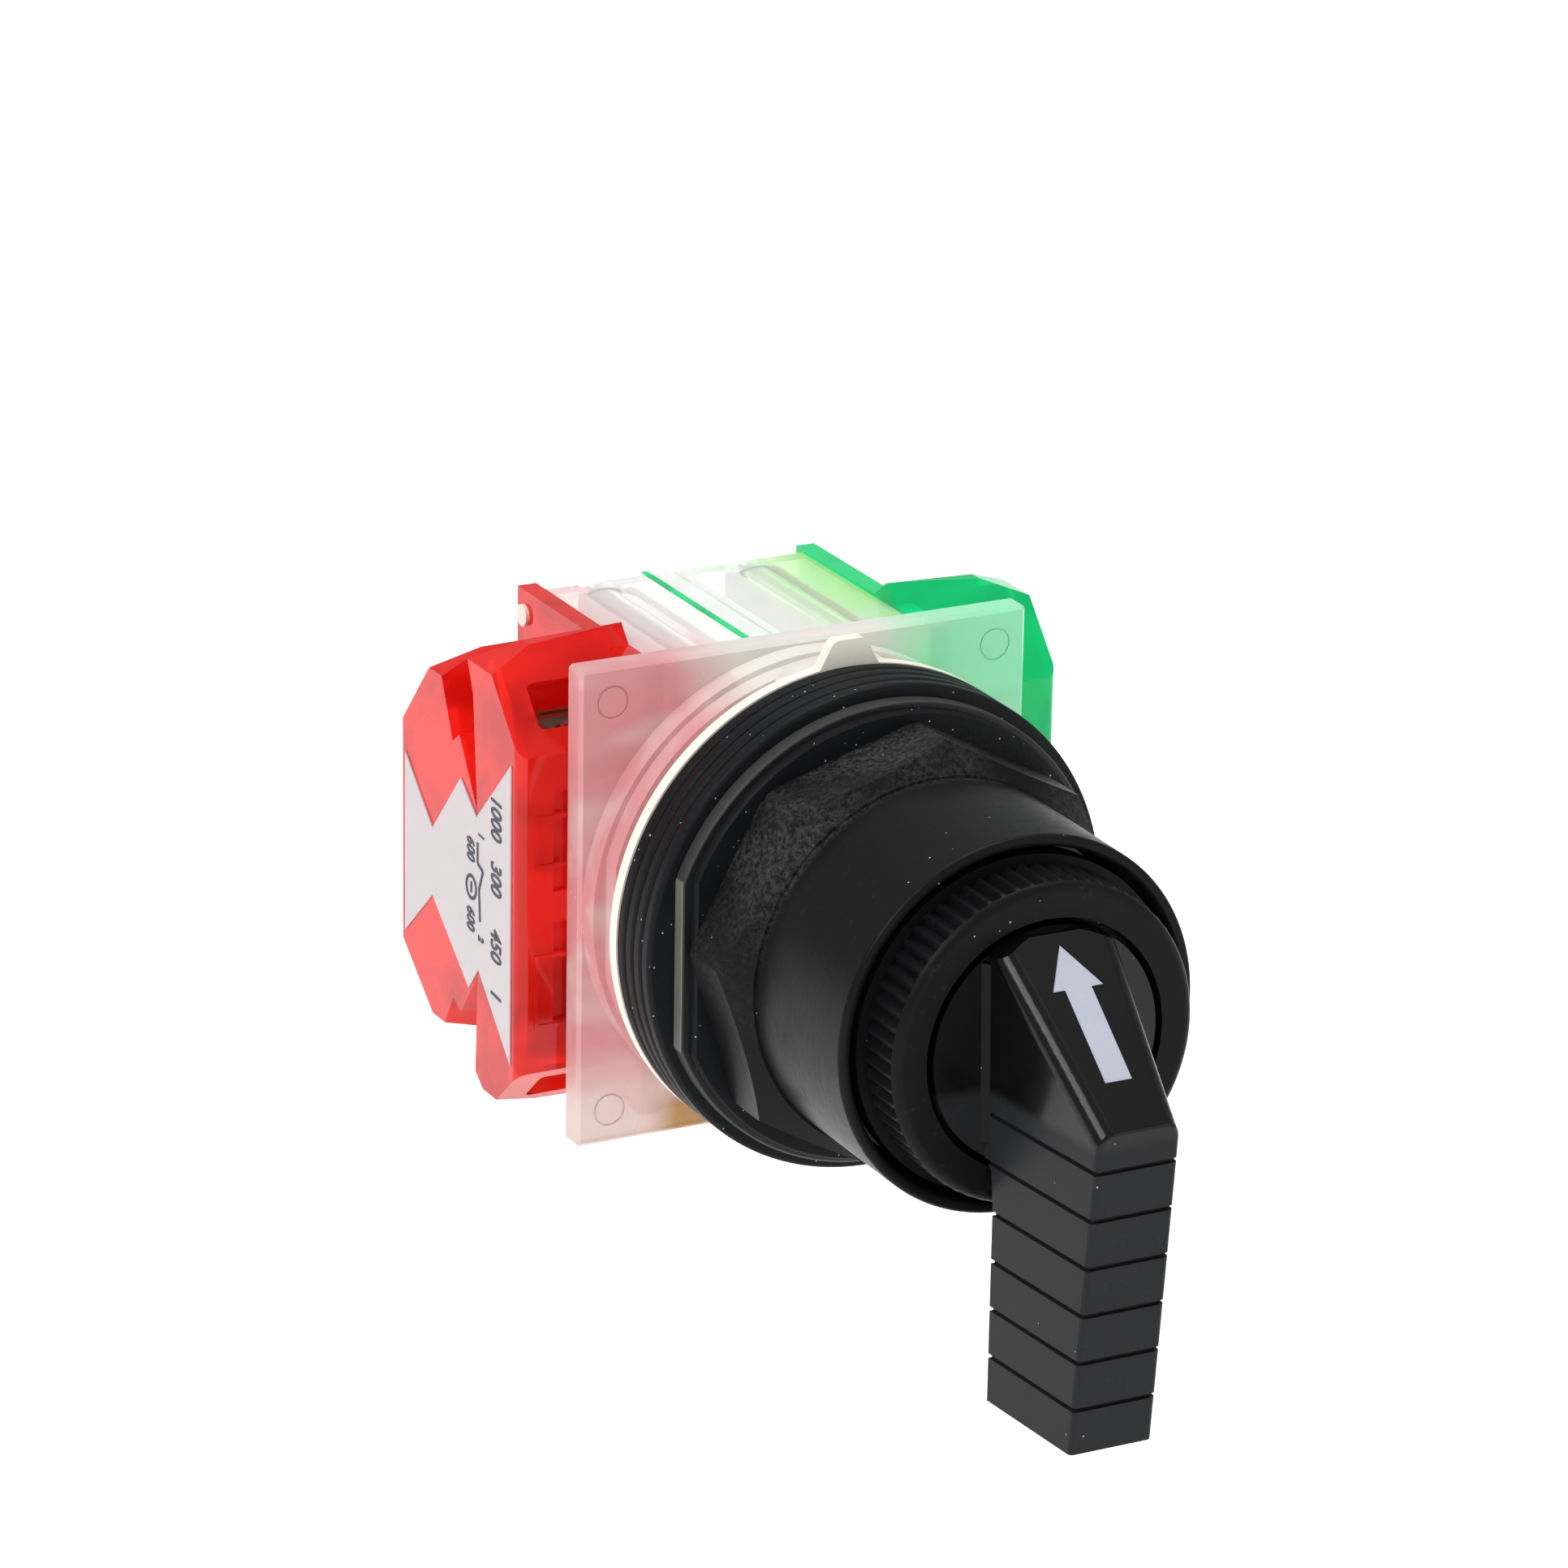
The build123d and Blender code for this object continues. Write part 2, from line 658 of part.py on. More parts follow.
# ---- contact blocks: the left one opens when its plunger is pushed, the right one closes ----
def block_case(side):
    inner_x = side * (chamber_outer_x + ledge_t)
    outer_x = side * block_outer_x
    with BuildPart() as case:
        add_slab(side * chamber_outer_x, outer_x, case_outline)
        # the hoods and lobes lose their outer corners, and the upper hood's top edge is arched
        bevel_x = block_outer_x - 4.3
        trims = (
            (base_rear_y, 21.5, [(block_outer_x, 19.9), (bevel_x, 21.6), (chamber_outer_x, hood_top_z)]),
            (21.5, 32.0, [(block_outer_x, 16.6), (bevel_x, 18.4), (chamber_outer_x, lobe_top_z)]),
            (base_rear_y, 21.5, [(block_outer_x, -19.0), (bevel_x, -20.0), (chamber_outer_x, -20.4)]),
            (21.5, 32.0, [(block_outer_x, -15.6), (bevel_x, -17.0), (chamber_outer_x, -17.2)]),
        )
        for front_y, rear_y, edge in trims:
            far_z = edge[0][1] * 2
            points = [(side * x, z) for x, z in edge]
            points += [(side * chamber_outer_x, far_z), (side * block_outer_x, far_z)]
            with BuildSketch(across(rear_y)):
                with BuildLine():
                    Polyline(*points, close=True)
                make_face()
            extrude(amount=rear_y - front_y, mode=Mode.SUBTRACT)
        upright = case.edges().filter_by(Axis.Z).filter_by(
            lambda edge: abs(edge.center().X) > block_outer_x - 0.1 and edge.center().Y < base_rear_y + 0.1
        )
        fillet(upright, 1.0)
        add_slab(inner_x, outer_x - side * wall, case_outline, wall, Mode.SUBTRACT)
        add_block(side * chamber_outer_x, inner_x, ledge_rear_y, base_rear_y, -ledge_half_z, ledge_half_z)
        for up in (1, -1):
            # slot for the contact strip, window over the terminal, and the driver's hole
            slot = (up * contact_z - strip_half - 0.1, up * contact_z + strip_half + 0.1)
            add_block(
                side * (chamber_outer_x - 1.0),
                inner_x + side * 0.01,
                strip_front_y + strip_t + 0.1,
                strip_front_y - 0.1,
                *slot,
                Mode.SUBTRACT,
            )
            hood_face = Plane(
                origin=(side * terminal_x, 13.4, up * 17.3),
                x_dir=(1, 0, 0),
                z_dir=(0, -1.0, up * 0.9),
            )
            with BuildSketch(hood_face):
                RectangleRounded(7.6, 4.4, 0.6)
            extrude(amount=2.4, both=True, mode=Mode.SUBTRACT)
            cut_round(1.9, 20.0, 17.0, ((side * terminal_x, up * terminal_z),))
            # shallow panels in the front face
            add_block(
                side * (chamber_outer_x + 3.0),
                side * (block_outer_x - 3.4),
                base_rear_y + 0.5,
                base_rear_y - 1.0,
                up * 6.0 - 4.6,
                up * 6.0 + 4.6,
                Mode.SUBTRACT,
            )
    return case


def block_chamber(side):
    inner = side * block_inner_x
    outer = side * chamber_outer_x
    half = chamber_half_z
    with BuildPart() as chamber:
        add_block(inner, outer, block_rear_y, base_rear_y, -half, half)
        upright = chamber.edges().filter_by(Axis.X).group_by(Axis.Y)[-1]
        chamfer(upright, 0.8)
        add_block(
            inner + side * wall,
            outer,
            chamber_rear_y,
            base_rear_y + chamber_front_wall,
            wall - half,
            half - wall,
            Mode.SUBTRACT,
        )
        # posts for the two mounting screws, and a pin inside the return spring
        for up in (1, -1):
            low, high = sorted((up * (screw_z - 2.0), up * half))
            add_block(
                side * (screw_x - 2.0),
                side * (screw_x + 2.0),
                block_rear_y - 0.9,
                base_rear_y,
                low,
                high,
            )
        add_ring_at((side * push_radius, 0), 1.4, chamber_rear_y + 0.2, chamber_rear_y - 3.0)
        places = [(side * screw_x, screw_z), (side * screw_x, -screw_z)]
        cut_round(screw_r + 0.15, block_rear_y, base_rear_y, places)
        cut_round(1.9, block_rear_y, block_rear_y - 2.2, places)
        cut_round(pusher_r + 0.7, base_rear_y + 1.0, base_rear_y, ((side * push_radius, 0),))
    return chamber


def add_ring_at(place, radius, rear_y, front_y):
    # adds a round slab whose centre is at an (x, z) place
    with BuildSketch(across(rear_y)) as disc:
        with Locations(place):
            Circle(radius)
    extrude(disc.sketch, amount=rear_y - front_y)


def fixed_contacts(side, button_faces_rear):
    near = side * (push_radius - strip_half)
    rear_y = strip_front_y + strip_t
    with BuildPart() as strips:
        for up in (1, -1):
            middle = up * contact_z
            far = side * (terminal_x - 2.6)
            add_block(near, far, rear_y, strip_front_y, middle - strip_half, middle + strip_half)
            low, high = sorted((up * (contact_z - strip_half), up * (terminal_z + 2.6)))
            tongue = side * (terminal_x + 2.9)
            add_block(far, tongue, rear_y, strip_front_y, low, high)
            place = (side * push_radius, middle)
            if button_faces_rear:
                add_ring_at(place, button_r, rear_y + button_t, rear_y)
            else:
                add_ring_at(place, button_r, strip_front_y, strip_front_y - button_t)
            cut_round(1.25, rear_y, strip_front_y, ((side * terminal_x, up * terminal_z),))
    return strips


def bridge_contact(side, front_y, button_faces_rear):
    with BuildPart() as bridge:
        x = side * push_radius
        reach = contact_z + button_r + 0.3
        add_block(x - 1.9, x + 1.9, front_y + bridge_t, front_y, -reach, reach)
        for up in (1, -1):
            place = (x, up * contact_z)
            if button_faces_rear:
                add_ring_at(place, button_r, front_y + bridge_t + button_t, front_y + bridge_t)
            else:
                add_ring_at(place, button_r, front_y, front_y - button_t)
        cut_round(1.3, front_y + bridge_t, front_y, ((x, 0),))
    return bridge


def plunger(side, bridge_front_y):
    x = side * push_radius
    tip_y = cam_mid_y + pusher_gap
    collar_y = bridge_front_y - collar_t
    with BuildPart() as body:
        with Locations((x, tip_y + pusher_r, 0)):
            Sphere(pusher_r)
        add_ring_at((x, 0), pusher_r, collar_y, tip_y + pusher_r)
        add_ring_at((x, 0), 2.4, bridge_front_y, collar_y)
        add_ring_at((x, 0), 1.25, bridge_front_y + bridge_t, bridge_front_y)
        add_block(x - 2.3, x + 2.3, carrier_rear_y, bridge_front_y + bridge_t, -3.2, 3.2)
        add_ring_at((x, 0), 1.4, carrier_rear_y + 4.0, carrier_rear_y)
    return body


def return_spring(side):
    start = carrier_rear_y + return_wire_r + 0.03
    length = chamber_rear_y - return_wire_r - 0.03 - start
    foot = (side * push_radius, start, 0)
    with BuildPart() as spring:
        with BuildLine():
            turns = Helix(length / 6, length, return_coil_r, center=foot, direction=(0, 1, 0))
        with BuildSketch(Plane(turns @ 0, z_dir=turns % 0)):
            Circle(return_wire_r)
        sweep(path=turns)
    return spring


def terminal_screws(side):
    head_front_y = strip_front_y - 2.6
    with BuildPart() as screws:
        for up in (1, -1):
            place = (side * terminal_x, up * terminal_z)
            add_ring_at(place, 2.3, head_front_y + 1.4, head_front_y)
            add_ring_at(place, 1.2, strip_front_y + strip_t + 0.25, head_front_y + 1.4)
            with BuildSketch(across(head_front_y + 0.7)):
                with Locations(place):
                    Rectangle(0.6, 6.0, rotation=35)
            extrude(amount=0.7, mode=Mode.SUBTRACT)
    return screws


def wire_clamps(side):
    front_y = strip_front_y - 1.2
    with BuildPart() as clamps:
        for up in (1, -1):
            x = side * terminal_x
            z = up * terminal_z
            add_block(x - 2.8, x + 2.8, front_y + 0.8, front_y, z - 2.5, z + 2.5)
            for turned in (-1, 1):
                near, far = sorted((x + turned * 2.8, x + turned * 2.0))
                add_block(near, far, strip_front_y, front_y + 0.8, z - 2.5, z + 2.5)
            cut_round(1.35, front_y + 0.8, front_y, ((x, z),))
    return clamps


def mount_screws(side):
    with BuildPart() as screws:
        for up in (1, -1):
            place = (side * screw_x, up * screw_z)
            head_y = block_rear_y - 2.2
            add_ring_at(place, 1.8, head_y + 1.6, head_y)
            add_ring_at(place, screw_r, head_y, base_rear_y - 5.4)
            with BuildSketch(across(head_y + 1.6)):
                with Locations(place):
                    Rectangle(0.5, 5.0, rotation=20)
            extrude(amount=0.7, mode=Mode.SUBTRACT)
    return screws


def side_label(side):
    with BuildPart() as label:
        near = side * block_outer_x
        add_slab(near, near + side * label_t, label_outline)
    return label


def ledge_eyelet(side):
    # a small rivet on the outer face of the ledge's rear corner
    with BuildPart() as eyelet:
        near = side * (chamber_outer_x + ledge_t)
        with BuildSketch(Plane.YZ.offset(near)):
            with Locations((ledge_rear_y - 1.5, ledge_half_z - 2.3)):
                Circle(1.0)
        extrude(amount=side * 0.35)
    return eyelet


closed_front_y = strip_front_y - button_t - contact_gap - button_t - bridge_t
open_front_y = strip_front_y + strip_t + button_t + contact_gap + button_t
for block, side, bridge_y in (("left", -1, open_front_y), ("right", 1, closed_front_y)):
    behind = block == "left"
    finish(block_case(side), f"{block}_case")
    finish(block_chamber(side), f"{block}_chamber")
    finish(side_label(side), f"{block}_label")
    finish(ledge_eyelet(side), f"{block}_eyelet")
    finish(fixed_contacts(side, behind), f"{block}_fixed_contacts")
    finish(bridge_contact(side, bridge_y, not behind), f"{block}_bridge_contact")
    finish(plunger(side, bridge_y), f"{block}_plunger")
    finish(return_spring(side), f"{block}_return_spring")
    finish(terminal_screws(side), f"{block}_terminal_screws")
    finish(wire_clamps(side), f"{block}_wire_clamps")
    finish(mount_screws(side), f"{block}_mount_screws")
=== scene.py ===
import math
import bmesh
import bpy
from mathutils import Matrix, Vector


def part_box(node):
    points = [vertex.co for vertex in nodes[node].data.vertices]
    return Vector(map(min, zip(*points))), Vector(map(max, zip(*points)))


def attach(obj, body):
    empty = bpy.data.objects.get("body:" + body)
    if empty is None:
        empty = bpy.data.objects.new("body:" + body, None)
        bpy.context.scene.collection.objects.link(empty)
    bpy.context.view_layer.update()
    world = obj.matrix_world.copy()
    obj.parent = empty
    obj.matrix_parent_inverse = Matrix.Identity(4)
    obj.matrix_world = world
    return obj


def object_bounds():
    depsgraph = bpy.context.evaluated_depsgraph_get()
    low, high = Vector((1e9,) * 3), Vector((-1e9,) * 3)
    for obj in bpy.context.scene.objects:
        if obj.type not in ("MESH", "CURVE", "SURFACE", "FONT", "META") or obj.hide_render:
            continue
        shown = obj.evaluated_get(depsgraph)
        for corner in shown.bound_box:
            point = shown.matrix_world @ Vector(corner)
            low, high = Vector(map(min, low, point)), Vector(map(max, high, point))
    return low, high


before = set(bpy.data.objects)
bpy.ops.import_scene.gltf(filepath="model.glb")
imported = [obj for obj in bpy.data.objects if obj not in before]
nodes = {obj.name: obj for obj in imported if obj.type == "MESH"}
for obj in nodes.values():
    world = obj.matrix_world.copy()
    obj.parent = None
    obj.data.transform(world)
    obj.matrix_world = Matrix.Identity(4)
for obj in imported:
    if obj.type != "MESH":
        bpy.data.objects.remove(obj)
cadLow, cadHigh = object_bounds()
scene = bpy.context.scene
mm = 0.001
sides = {"left": -1, "right": 1}
print("stage: frame loaded,", len(nodes), "nodes")


class Signal:
    # one output of a node; arithmetic on it adds Math nodes

    def __init__(self, tree, socket):
        self.tree = tree
        self.socket = socket

    def join(self, operation, first, second=None, clamp=False):
        values = {0: first} if second is None else {0: first, 1: second}
        return self.tree.add("ShaderNodeMath", {"operation": operation, "use_clamp": clamp}, values)

    def __add__(self, other):
        return self.join("ADD", self, other)

    def __radd__(self, other):
        return self.join("ADD", other, self)

    def __sub__(self, other):
        return self.join("SUBTRACT", self, other)

    def __rsub__(self, other):
        return self.join("SUBTRACT", other, self)

    def __mul__(self, other):
        return self.join("MULTIPLY", self, other)

    def __rmul__(self, other):
        return self.join("MULTIPLY", other, self)

    def __truediv__(self, other):
        return self.join("DIVIDE", self, other)

    def __rtruediv__(self, other):
        return self.join("DIVIDE", other, self)

    def __pow__(self, other):
        return self.join("POWER", self, other)

    def above(self, level, soft):
        # 0 below the level, 1 above it, with a ramp as wide as soft
        return self.join("ADD", (self - level) / soft, 0.5, clamp=True)

    def below(self, level, soft):
        return self.join("SUBTRACT", 0.5, (self - level) / soft, clamp=True)

    def size(self):
        return self.join("ABSOLUTE", self)


colourMix = {"factor": 0, "first": 6, "second": 7, "result": 2}  # sockets of a Mix node set to colours


class Finish:
    # a material's tree with the few things every finish here needs

    def __init__(self, name, **fixed):
        self.material = bpy.data.materials.new(name)
        self.material.use_nodes = True
        self.tree = self.material.node_tree
        self.shader = self.tree.nodes["Principled BSDF"]
        for socket, value in fixed.items():
            self.shader.inputs[socket.replace("_", " ")].default_value = value
        self.place = self.add("ShaderNodeTexCoord", {}, {}, "Object")
        parts = self.add("ShaderNodeSeparateXYZ", {}, {0: self.place}).socket.node
        self.x, self.y, self.z = (Signal(self, parts.outputs[axis]) for axis in "XYZ")
        self.radius = (self.x * self.x + self.z * self.z) ** 0.5

    def add(self, kind, settings, values, output=0):
        # a new node: its settings first, then the values or the links of its sockets
        node = self.tree.nodes.new(kind)
        for key, value in settings.items():
            setattr(node, key, value)
        for key, value in values.items():
            if isinstance(value, Signal):
                self.tree.links.new(value.socket, node.inputs[key])
            else:
                node.inputs[key].default_value = value
        return Signal(self, node.outputs[output])

    def stretch(self, along):
        # object coordinates scaled per axis, for grain that runs one way
        return self.add("ShaderNodeMapping", {}, {"Vector": self.place, "Scale": along})

    def noise(self, size, detail=2.0, rough=0.5, place=None):
        # size is the width of a feature in metres
        place = place or self.place
        values = {"Vector": place, "Scale": 1.0 / size, "Detail": detail, "Roughness": rough}
        return self.add("ShaderNodeTexNoise", {}, values)

    def blend(self, factor, first, second):
        values = {
            colourMix["factor"]: factor,
            colourMix["first"]: self.tint(first),
            colourMix["second"]: self.tint(second),
        }
        return self.add("ShaderNodeMix", {"data_type": "RGBA"}, values, colourMix["result"])

    def tint(self, colour):
        return colour if isinstance(colour, Signal) else (*colour, 1.0)

    def dust(self, look):
        # small dots, each at the middle of a cell, and only where the patches are
        cells = self.add("ShaderNodeTexVoronoi", {}, {"Vector": self.place, "Scale": 1.0 / look["cell"]})
        patches = self.noise(look["patch"], 1.0).above(look["level"], look["soft"])
        return cells.below(look["dot"], look["edge"]) * patches

    def feed(self, colour, rough, height=None, depth=0.0, glow=None, coat=None):
        links = {"Base Color": colour, "Roughness": rough, "Emission Color": glow, "Coat Weight": coat}
        if height is not None:
            links["Normal"] = self.add("ShaderNodeBump", {}, {"Height": height, "Distance": depth})
        for socket, value in links.items():
            if value is not None:
                self.tree.links.new(value.socket, self.shader.inputs[socket])
        return self.material


# the black mouldings differ in shade and gloss and share the grain of the plastic
mouldedLook = {
    "nut": {
        "dark": (0.004, 0.004, 0.0045), "light": (0.009, 0.009, 0.010),
        "rough": 0.34, "grain": 0.35, "gloss": 0.08,
    },
    "ring": {
        "dark": (0.004, 0.004, 0.0045), "light": (0.008, 0.008, 0.009),
        "rough": 0.38, "grain": 0.22, "gloss": 0.08,
    },
    "lever": {
        "dark": (0.013, 0.0135, 0.0145), "light": (0.021, 0.0215, 0.023),
        "rough": 0.32, "grain": 0.12, "gloss": 0.07,
    },
}
mouldedGrain = {
    "clouds": 11 * mm, "erosion": 0.22 * mm, "depth": 0.03 * mm,
    "scuffs": 1.6 * mm, "scuffed": (0.05, 0.05, 0.052),
    "powder": 0.5 * mm, "powderPatch": 9 * mm, "powdered": (0.075, 0.072, 0.072),
    "coat": 0.4, "coatRough": 0.13, "paintedReflectionDark": 0.12, "dustColour": (0.5, 0.5, 0.5),
    "dust": {"cell": 1.9 * mm, "dot": 0.04, "edge": 0.02, "patch": 4 * mm, "level": 0.54, "soft": 0.06},
}


def mouldedBlack(name, look, worn=None, polished=None):
    # black moulded plastic with a fine eroded grain, faint flow clouds and a few dust specks; where it
    # is polished it is coated and painted darker, a painted dark reflection
    finish = Finish(name, Specular_IOR_Level=look["gloss"], Coat_Roughness=mouldedGrain["coatRough"])
    clouds = finish.noise(mouldedGrain["clouds"], 3.0, 0.55)
    grain = finish.noise(mouldedGrain["erosion"], 2.0, 0.6)
    scuff = finish.noise(mouldedGrain["scuffs"], 6.0, 0.72, finish.stretch((1.0, 3.0, 1.0)))
    dust = finish.dust(mouldedGrain["dust"])
    colour = finish.blend(clouds, look["dark"], look["light"])
    colour = finish.blend(scuff.above(0.66, 0.12) * 0.3, colour, mouldedGrain["scuffed"])
    rough = look["rough"] + (clouds - 0.5) * 0.16 + scuff.above(0.6, 0.2) * 0.12
    coat = None
    if worn:
        powder = finish.noise(mouldedGrain["powder"], 3.0, 0.8).above(0.55, 0.3)
        patches = finish.noise(mouldedGrain["powderPatch"], 2.0).above(0.5, 0.3)
        mask = worn(finish) * patches * powder
        colour = finish.blend(mask * 0.7, colour, mouldedGrain["powdered"])
        rough = rough + mask * 0.25
    if polished:
        gloss = polished(finish)
        # painted dark reflection: the polished parts get a much darker colour
        deep = tuple(mouldedGrain["paintedReflectionDark"] * part for part in look["dark"])
        coat = gloss * mouldedGrain["coat"]
        colour = finish.blend(gloss, colour, deep)
    colour = finish.blend(dust, colour, mouldedGrain["dustColour"])
    height = grain * look["grain"] + scuff * 0.1
    return finish.feed(colour, rough, height, mouldedGrain["depth"], None, coat)


def leverPolish(finish):
    # the slope, the disc and the top of the grip are smoother than the grooved part, and are painted
    # darker there as a dark reflection
    return finish.z.above(-3 * mm, 1 * mm)


nutPowder = {"skirt": -16.4 * mm, "cone": 16.3 * mm, "middle": 2 * mm, "fade": 16 * mm}


def nutWear(finish):
    # pale powdery scuffs on the octagon's flanks and cone, most of them towards the top
    behindSkirt = finish.y.above(nutPowder["skirt"], 0.8 * mm)
    outsideCone = finish.radius.above(nutPowder["cone"], 0.5 * mm)
    return behindSkirt * outsideCone * finish.z.above(nutPowder["middle"], nutPowder["fade"])


rubberLook = {
    "dark": (0.004, 0.0045, 0.005), "light": (0.010, 0.011, 0.012), "rough": 0.36, "gloss": 0.09,
    "clouds": 9 * mm, "grain": 0.3 * mm, "depth": 0.03 * mm, "dustColour": (0.45, 0.45, 0.45),
    "dust": {"cell": 1.1 * mm, "dot": 0.07, "edge": 0.02, "patch": 3 * mm, "level": 0.50, "soft": 0.05},
}


def rubber(name, look):
    # dark matt rubber with dust on it
    finish = Finish(name, Specular_IOR_Level=look["gloss"])
    clouds = finish.noise(look["clouds"], 3.0)
    grain = finish.noise(look["grain"], 2.0, 0.6)
    dust = finish.dust(look["dust"])
    colour = finish.blend(clouds, look["dark"], look["light"])
    colour = finish.blend(dust, colour, look["dustColour"])
    return finish.feed(colour, look["rough"] + clouds * 0.14, grain, look["depth"])


fibreLook = {
    "black": (0.006, 0.006, 0.0065), "grey": (0.09, 0.09, 0.085), "pale": (0.16, 0.16, 0.15),
    "rim": 20.78 * mm, "flat": 19.42 * mm, "edge": 0.05 * mm, "scratches": 0.6 * mm, "depth": 0.03 * mm,
}


def greyEdged(name, look):
    # black fibre washer that is greyer at its round edge and grey where its flats are cut
    finish = Finish(name, Specular_IOR_Level=0.3)
    rim = finish.radius.above(look["rim"], look["edge"]) * 0.25
    edge = rim + finish.x.size().above(look["flat"], look["edge"])
    scratches = finish.noise(look["scratches"], 4.0, 0.7, finish.stretch((1.0, 1.0, 0.12)))
    grey = finish.blend(scratches, look["grey"], look["pale"])
    colour = finish.blend(edge, look["black"], grey)
    return finish.feed(colour, 0.38 + scratches * 0.2, scratches, look["depth"])


# see-through plastics; left and right are painted light: on the plate and the chambers a painted colour
# cast of the light that comes through the red and green cases, on the red case a painted lighter outer
# side and on the green case a painted shaded outer side; edge and fade say where they begin at each
# side, and glow is the strength of a painted glow
clearLook = {
    "frosted": {
        "colour": (0.86, 0.82, 0.77), "cloud": (0.78, 0.73, 0.68),
        "left": (0.76, 0.36, 0.37), "right": (0.38, 0.88, 0.58), "edge": 9.5 * mm, "fade": 6 * mm,
        "clear": 0.32, "rough": 0.26, "glow": 0.03, "scratched": 0.2,
    },
    "chamber": {
        "colour": (0.93, 0.96, 0.93), "cloud": (0.87, 0.89, 0.87),
        "left": (0.95, 0.74, 0.74), "right": (0.62, 0.96, 0.45), "edge": 8 * mm, "fade": 9 * mm,
        "clear": 0.72, "rough": 0.08, "glow": 0.13, "scratched": 1.0,
    },
    "red": {
        "colour": (0.80, 0.012, 0.006), "cloud": (0.46, 0.003, 0.002),
        "left": (0.88, 0.022, 0.014), "right": (0.60, 0.003, 0.002), "edge": 21 * mm, "fade": 8 * mm,
        "clear": 0.60, "rough": 0.06, "glow": 0.08, "scratched": 1.0,
    },
    "green": {
        "colour": (0.006, 0.70, 0.25), "cloud": (0.003, 0.42, 0.13),
        "left": (0.02, 0.72, 0.20), "right": (0.004, 0.62, 0.20), "edge": 21 * mm, "fade": 8 * mm,
        "clear": 0.42, "rough": 0.10, "glow": 0.09, "scratched": 1.0,
    },
}
clearGrain = {
    "flow": 12 * mm, "scratches": 0.9 * mm, "clouds": 7 * mm, "depth": 0.03 * mm,
    "bend": 1.42, "gloss": 0.16,
}


def translucent(name, look, tones=None):
    # tinted see-through plastic with soft flow lines and faint scratches, and a painted glow: it lights
    # itself in its own colour
    finish = Finish(
        name,
        Transmission_Weight=look["clear"],
        Emission_Strength=look["glow"],
        IOR=clearGrain["bend"],
        Specular_IOR_Level=clearGrain["gloss"],
    )
    flow = finish.noise(clearGrain["flow"], 3.0, 0.5, finish.stretch((1.0, 0.6, 1.0)))
    scratches = finish.noise(clearGrain["scratches"], 5.0, 0.75, finish.stretch((2.0, 2.0, 0.3)))
    clouds = finish.noise(clearGrain["clouds"], 2.0, 0.5, finish.stretch((0.4, 1.0, 1.0)))
    # painted colour cast and painted light and shade towards each side
    colour = finish.blend(finish.x.below(-look["edge"], look["fade"]), look["colour"], look["left"])
    colour = finish.blend(finish.x.above(look["edge"], look["fade"]), colour, look["right"])
    # darker cloudy patches: uneven depth of the plastic, and on the red and green cases partly painted
    # shade of their inner walls
    colour = finish.blend(clouds.above(0.56, 0.16) * 0.55, colour, look["cloud"])
    if tones:
        colour = tones(finish, colour)
    rough = look["rough"] + (flow - 0.5) * 0.1 + scratches.above(0.64, 0.1) * (0.05 * look["scratched"])
    height = flow * 0.8 + scratches * (0.06 * look["scratched"])
    # the colour is also the emission colour: painted glow
    return finish.feed(colour, rough, height, clearGrain["depth"], colour)


plateLook = {
    "boss": 20.6 * mm, "bossColour": (0.84, 0.76, 0.73),
    "foot": -15 * mm, "footColour": (0.74, 0.66, 0.61),
    "brownTop": -18.5 * mm, "brownSide": 13.5 * mm, "brownColour": (0.46, 0.27, 0.11),
}


def plateTones(finish, colour):
    # the thick round boss is paler than the corners and the foot of the plate darker and less pink,
    # which also covers part of the painted colour cast there, and the plate is brown at the very bottom
    # middle
    boss = finish.radius.below(plateLook["boss"], 0.5 * mm) * 0.25
    foot = finish.z.below(plateLook["foot"], 5 * mm) * 0.75
    bottomBrown = finish.z.below(plateLook["brownTop"], 2 * mm)
    bottomBrown = bottomBrown * finish.x.size().below(plateLook["brownSide"], 3 * mm)
    colour = finish.blend(boss, colour, plateLook["bossColour"])
    colour = finish.blend(foot, colour, plateLook["footColour"])
    return finish.blend(bottomBrown, colour, plateLook["brownColour"])


# plain plastics: two shades that drift into each other
nylonLook = {
    "creamNylon": ((0.84, 0.81, 0.71), (0.78, 0.74, 0.64)),
    "whiteAcetal": ((0.78, 0.77, 0.74), (0.70, 0.69, 0.65)),
    "arrowWhite": ((0.43, 0.45, 0.53), (0.37, 0.39, 0.46)),
    "ribPlastic": ((0.46, 0.33, 0.30), (0.36, 0.26, 0.24)),
}


def nylon(name):
    colour, shade = nylonLook[name]
    finish = Finish(name, Subsurface_Weight=0.15, Subsurface_Radius=(2 * mm, 1.5 * mm, 1 * mm))
    clouds = finish.noise(8 * mm, 3.0)
    grain = finish.noise(0.4 * mm, 2.0)
    return finish.feed(finish.blend(clouds, colour, shade), 0.38 + clouds * 0.15, grain, 0.03 * mm)


# metals: two shades, roughness, and how much finer the turning marks are along each axis
even = (1.0, 1.0, 1.0)
metalLook = {
    "castZinc": ((0.84, 0.80, 0.78), (0.70, 0.67, 0.65), 0.5, even),
    "groundSteel": ((0.56, 0.56, 0.57), (0.42, 0.42, 0.43), 0.2, (1.0, 6.0, 1.0)),
    # platedScrew is darker than plated metal is: painted shade, for the screws and clamps that sit
    # inside the cases
    "platedScrew": ((0.36, 0.33, 0.28), (0.24, 0.22, 0.18), 0.24, even),
    "springSteel": ((0.46, 0.46, 0.47), (0.33, 0.33, 0.34), 0.26, even),
    "contactBrass": ((0.66, 0.47, 0.22), (0.48, 0.33, 0.15), 0.28, even),
}


